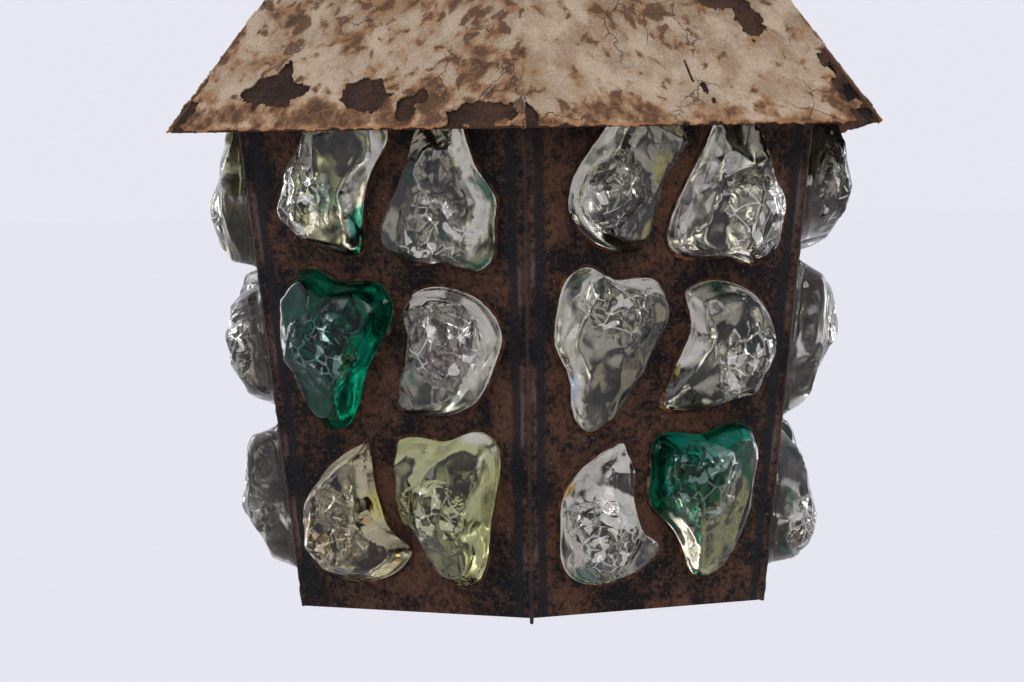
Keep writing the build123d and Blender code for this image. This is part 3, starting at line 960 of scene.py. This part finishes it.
def weld_bead(name, low, high, drip):
    """A thin lumpy bar of weld along an edge, with a drip left at its low end."""
    run = high - low
    middle = (low + high) / 2
    turn = run.to_track_quat("Z", "Y").to_euler()
    bpy.ops.object.select_all(action="DESELECT")
    bpy.ops.mesh.primitive_cylinder_add(
        vertices=10, radius=weld_radius, depth=run.length, location=middle, rotation=turn
    )
    bead = settle(name)
    along = run.normalized()
    split_lengthwise(bead, along, int(run.length / weld_step))
    inwards = Vector((-middle.x, -middle.y, 0)).normalized() * (weld_radius * weld_sunk)
    for vertex in bead.data.vertices:
        end = (vertex.co - low).dot(along)
        vertex.co += inwards
        if drip and end < drip_reach:
            vertex.co -= along * drip * (1 - end / drip_reach)
    push_out(bead, weld_lumps, weld_lump, 0.5)
    apply_all(bead)
    bpy.ops.object.shade_smooth()
    return bead


weld = Finish("weld_iron", Roughness=0.55)
weld.put("Specular IOR Level", 0.2)
colour, patches, grain = rusty_iron(weld)
weld.put("Base Color", weld.mix(0.5, colour, (0.012, 0.012, 0.014)))
weld.bump(grain * 0.6 + patches * 0.4, 0.0006, 0.9)
for place in range(6):
    low, high = face_corners(f"panel_{place + 1}", place)
    bead = weld_bead(f"body_weld_{place + 1}", low, high, long_drip if place == 5 else short_drip)
    dress(bead, weld)
    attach(bead, "lantern")
    low, high = face_corners(f"roof_side_{place + 1}", place)
    high = low + (high - low) * ((cap_low.z - low.z) / (high.z - low.z))
    bead = weld_bead(f"roof_weld_{place + 1}", low, high, 0)
    tip_rust = 0.15 if place == 5 else 1.4  # side 5's right-hand edge is the front ridge
    rusted = bead.data.attributes.new("stain_and_shade", "FLOAT", "POINT")
    for vertex in bead.data.vertices:
        rise = vertex.co.z - roof_low.z
        rusted.data[vertex.index].value = tip_rust * max(0.0, 1 - rise / rust_reach)
    dress(bead, aged_paint)
    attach(bead, "lantern")

# Hanging gear. The ring and the loop are bent from round bar and forged shut; the cross
# bar and its rivets are the same black iron, out of the weather and less rusted.
forged = Finish("forged_iron", Metallic=0.35)
colour, patches, grain = rusty_iron(forged)
hammered = forged.noise(0.007, 2, 0.4)
forged.put("Base Color", forged.mix(0.4, colour, (0.040, 0.034, 0.031)))
forged.put("Roughness", 0.42 + patches * 0.3)
forged.bump(hammered * 0.8 + grain * 0.25, 0.0010, 0.8)
for node in ("hanging_ring", "hanging_loop", "cross_bar", "bar_rivets"):
    dress(nodes[node], forged)

# Threaded tube and lock nuts. Zinc-plated steel gone dull; the thread runs the length of
# the tube and shows as fine rings.
thread_pitch = 0.001
steel = Finish("dull_steel", Metallic=0.9)
dulled = steel.noise(0.009, 4, 0.6)
brown = steel.noise(0.004, 4, 0.65)
colour = steel.mix(steel.step(dulled, 0.35, 0.65), (0.33, 0.31, 0.28), (0.19, 0.17, 0.15))
colour = steel.mix(steel.step(brown, 0.56, 0.68) * 0.8, colour, (0.115, 0.050, 0.025))
steel.put("Base Color", colour)
steel.put("Roughness", 0.34 + dulled * 0.3)
level = steel.node("SeparateXYZ", {}, {"Vector": steel.place()}, 2)
ring = steel.node("Math", {"operation": "PINGPONG"}, {0: level, 1: thread_pitch / 2})
steel.bump(ring * (2 / thread_pitch) + dulled * 0.2, 0.0003, 0.7)
dress(nodes["centre_tube"], steel)
plain_steel = Finish("nut_steel", Metallic=0.9)
dulled = plain_steel.noise(0.005, 4, 0.6)
colour = plain_steel.mix(plain_steel.step(dulled, 0.35, 0.65), (0.36, 0.34, 0.30), (0.14, 0.10, 0.07))
plain_steel.put("Base Color", colour)
plain_steel.put("Roughness", 0.30 + dulled * 0.35)
plain_steel.bump(dulled, 0.0003, 0.6)
dress(nodes["lock_nuts"], plain_steel)

# Lampholder. A spun brass shell, tarnished brown, round a glazed ceramic insert.
brass = Finish("aged_brass", Metallic=1.0)
tarnish = brass.noise(0.012, 5, 0.6)
spun = brass.noise(0.0016, 2, 0.5, stretch=(0.2, 0.2, 3.0))
colour = brass.mix(brass.step(tarnish, 0.36, 0.64), (0.46, 0.31, 0.12), (0.17, 0.105, 0.05))
brass.put("Base Color", brass.mix(brass.step(spun, 0.5, 0.7) * 0.3, colour, (0.08, 0.05, 0.03)))
brass.put("Roughness", 0.30 + tarnish * 0.3)
brass.bump(spun, 0.0002, 0.5)
dress(nodes["lampholder_body"], brass)
glaze = Finish("glazed_ceramic")
grime = glaze.noise(0.008, 4, 0.6)
colour = glaze.mix(glaze.step(grime, 0.42, 0.70), (0.74, 0.71, 0.64), (0.42, 0.35, 0.26))
glaze.put("Base Color", colour)
glaze.put("Roughness", 0.12 + grime * 0.25)
glaze.bump(glaze.noise(0.003, 3, 0.5), 0.0002, 0.4)
dress(nodes["lampholder_core"], glaze)

# Grommet. Black rubber, hardened, with dust in its pores.
rubber = Finish("old_rubber")
dust = rubber.noise(0.0022, 4, 0.7)
colour = rubber.mix(rubber.step(dust, 0.48, 0.72), (0.018, 0.017, 0.017), (0.11, 0.10, 0.09))
rubber.put("Base Color", colour)
rubber.put("Roughness", 0.62 + dust * 0.25)
rubber.bump(dust, 0.0003, 0.7)
dress(nodes["cable_grommet"], rubber)

# Bulb cap. A thin brass screw shell with a rolled thread, a black glass insulator above it
# and a soldered contact at the tip.
bulb_low, bulb_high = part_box("bulb_cap")
cap_radius = (bulb_high.x - bulb_low.x) / 2
screw_top = bulb_high.z - 0.0062
screw_pitch = 0.0036
screw_depth = 0.0009
screw_rings = 59
upright = Vector((0, 0, 1))
bpy.ops.object.select_all(action="DESELECT")
bpy.ops.mesh.primitive_cylinder_add(
    vertices=72,
    radius=cap_radius,
    depth=screw_top - bulb_low.z,
    end_fill_type="TRIFAN",
    location=(0, 0, (screw_top + bulb_low.z) / 2),
)
screw = settle("bulb_screw")
split_lengthwise(screw, upright, screw_rings)
for vertex in screw.data.vertices:
    place = vertex.co
    share = (place.z - bulb_low.z) / (screw_top - bulb_low.z)
    if place.xy.length > cap_radius / 2:
        turn = math.atan2(place.y, place.x) / (2 * math.pi)
        wave = 0.5 - 0.5 * math.cos(2 * math.pi * (place.z / screw_pitch + turn))
        fade = min(1, share * 6, (1 - share) * 8)
        narrow = 0.0012 * max(0, share * 8 - 7)
        place.xy *= (cap_radius - screw_depth * wave * fade - narrow) / cap_radius
bpy.ops.object.shade_smooth_by_angle(angle=math.radians(50))
shell = Finish("screw_brass", Metallic=1.0)
worn = shell.noise(0.006, 4, 0.6)
colour = shell.mix(shell.step(worn, 0.38, 0.66), (0.62, 0.48, 0.25), (0.30, 0.21, 0.11))
shell.put("Base Color", colour)
shell.put("Roughness", 0.22 + worn * 0.3)
shell.bump(worn, 0.0002, 0.4)
dress(screw, shell)
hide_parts("bulb_cap")
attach(screw, "bulb")

insulator_top = bulb_high.z - 0.0008
tip_radius = cap_radius * 0.34
bpy.ops.object.select_all(action="DESELECT")
bpy.ops.mesh.primitive_cone_add(
    vertices=48,
    radius1=cap_radius - 0.0014,
    radius2=tip_radius,
    depth=insulator_top - screw_top,
    location=(0, 0, (insulator_top + screw_top) / 2),
)
insulator = settle("bulb_insulator")
rounded = insulator.modifiers.new("rounded", "BEVEL")
rounded.width = 0.0008
rounded.segments = 3
apply_all(insulator)
bpy.ops.object.shade_smooth_by_angle(angle=math.radians(40))
black_glass = Finish("black_glass")
streaks = black_glass.noise(0.003, 3, 0.6)
black_glass.put("Base Color", black_glass.mix(streaks, (0.012, 0.011, 0.014), (0.05, 0.045, 0.05)))
black_glass.put("Roughness", 0.10 + streaks * 0.2)
dress(insulator, black_glass)
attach(insulator, "bulb")

bpy.ops.object.select_all(action="DESELECT")
bpy.ops.mesh.primitive_uv_sphere_add(
    segments=32,
    ring_count=16,
    radius=tip_radius * 0.92,
    location=(0, 0, insulator_top - 0.0002),
    scale=(1, 1, 0.2),
)
contact = settle("bulb_contact")
push_out(contact, rim_lumps, 0.0005, 0.5)
apply_all(contact)
bpy.ops.object.shade_smooth()
solder = Finish("solder", Metallic=0.9)
cooled = solder.noise(0.0015, 3, 0.5)
solder.put("Base Color", solder.mix(cooled, (0.50, 0.49, 0.47), (0.26, 0.25, 0.24)))
solder.put("Roughness", 0.30 + cooled * 0.3)
dress(contact, solder)
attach(contact, "bulb")

# Bulb. A thin clear envelope with a little dust on it. Inside, a glass stem carries two
# lead wires, and a fine coiled filament hangs between their hooks.
envelope = Finish("bulb_envelope", IOR=1.45)
envelope.put("Transmission Weight", 1.0)
bloom = envelope.noise(0.012, 4, 0.6)
colour = envelope.mix(envelope.step(bloom, 0.45, 0.75), (0.97, 0.97, 0.96), (0.86, 0.84, 0.80))
envelope.put("Base Color", colour)
envelope.put("Roughness", 0.01 + envelope.step(bloom, 0.50, 0.80) * 0.10)
dress(nodes["bulb_glass"], envelope)

globe_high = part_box("bulb_glass")[1]
stem_radius = 0.0045
stem_length = 0.034
stem_rings = 23
stem_low = globe_high.z - 0.002 - stem_length
bpy.ops.object.select_all(action="DESELECT")
bpy.ops.mesh.primitive_cylinder_add(
    vertices=32,
    radius=stem_radius,
    depth=stem_length,
    location=(0, 0, stem_low + stem_length / 2),
)
stem = settle("bulb_stem")
split_lengthwise(stem, upright, stem_rings)
for vertex in stem.data.vertices:
    share = (vertex.co.z - stem_low) / stem_length
    flare = 1 + 1.1 * max(0, share - 0.55) ** 1.5 / 0.45**1.5
    pinch = 1 - 0.55 * math.exp(-((share - 0.12) / 0.10) ** 2)
    vertex.co.x *= flare
    vertex.co.y *= flare * pinch
bpy.ops.object.shade_smooth_by_angle(angle=math.radians(50))
stem_glass = Finish("stem_glass", IOR=1.5)
stem_glass.put("Transmission Weight", 1.0)
seeds = stem_glass.noise(0.004, 3, 0.5)
stem_glass.put("Base Color", stem_glass.mix(seeds, (0.93, 0.95, 0.94), (0.80, 0.84, 0.84)))
stem_glass.put("Roughness", 0.02 + seeds * 0.08)
dress(stem, stem_glass)
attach(stem, "bulb")

filament_low = stem_low - 0.014
root_spread = 0.0016
hook_spread = 0.013
lead_thickness = 0.0005
lead_steps = 12
lead_high = stem_low + 0.003
coil_turns = 46
coil_radius = 0.0006
coil_sag = 0.004
coil_steps = coil_turns * 10
filament_thickness = 0.00022


def wire(name, points, thickness):
    """A round wire through points, as a mesh."""
    line = bpy.data.curves.new(name, "CURVE")
    line.dimensions = "3D"
    line.bevel_depth = thickness / 2
    line.bevel_resolution = 2
    line.use_fill_caps = True
    spline = line.splines.new("POLY")
    spline.points.add(len(points) - 1)
    for target, point in zip(spline.points, points):
        target.co = (*point, 1)
    piece = bpy.data.objects.new(name, line)
    scene.collection.objects.link(piece)
    pick(piece)
    bpy.ops.object.convert(target="MESH")
    bpy.ops.object.shade_smooth()
    return bpy.context.object


leads = []
for side in (-1, 1):
    route = []
    for stepping in range(lead_steps + 1):
        share = stepping / lead_steps
        across = side * (root_spread + (hook_spread - root_spread) * share**1.6)
        route.append((across, 0, lead_high - (lead_high - filament_low) * share))
    leads.append(wire(f"bulb_lead_{'left' if side < 0 else 'right'}", route, lead_thickness))
coil = []
for stepping in range(coil_steps + 1):
    share = stepping / coil_steps
    turn = 2 * math.pi * coil_turns * share
    sag = coil_sag * (1 - (2 * share - 1) ** 2)
    coil.append(
        (
            -hook_spread + 2 * hook_spread * share,
            coil_radius * math.cos(turn),
            filament_low - sag + coil_radius * math.sin(turn),
        )
    )
filament = wire("bulb_filament", coil, filament_thickness)
tungsten = Finish("tungsten", Metallic=0.8)
heat = tungsten.noise(0.004, 3, 0.6)
tungsten.put("Base Color", tungsten.mix(heat, (0.10, 0.10, 0.105), (0.20, 0.19, 0.18)))
tungsten.put("Roughness", 0.35 + heat * 0.2)
for piece in (*leads, filament):
    dress(piece, tungsten)
    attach(piece, "bulb")
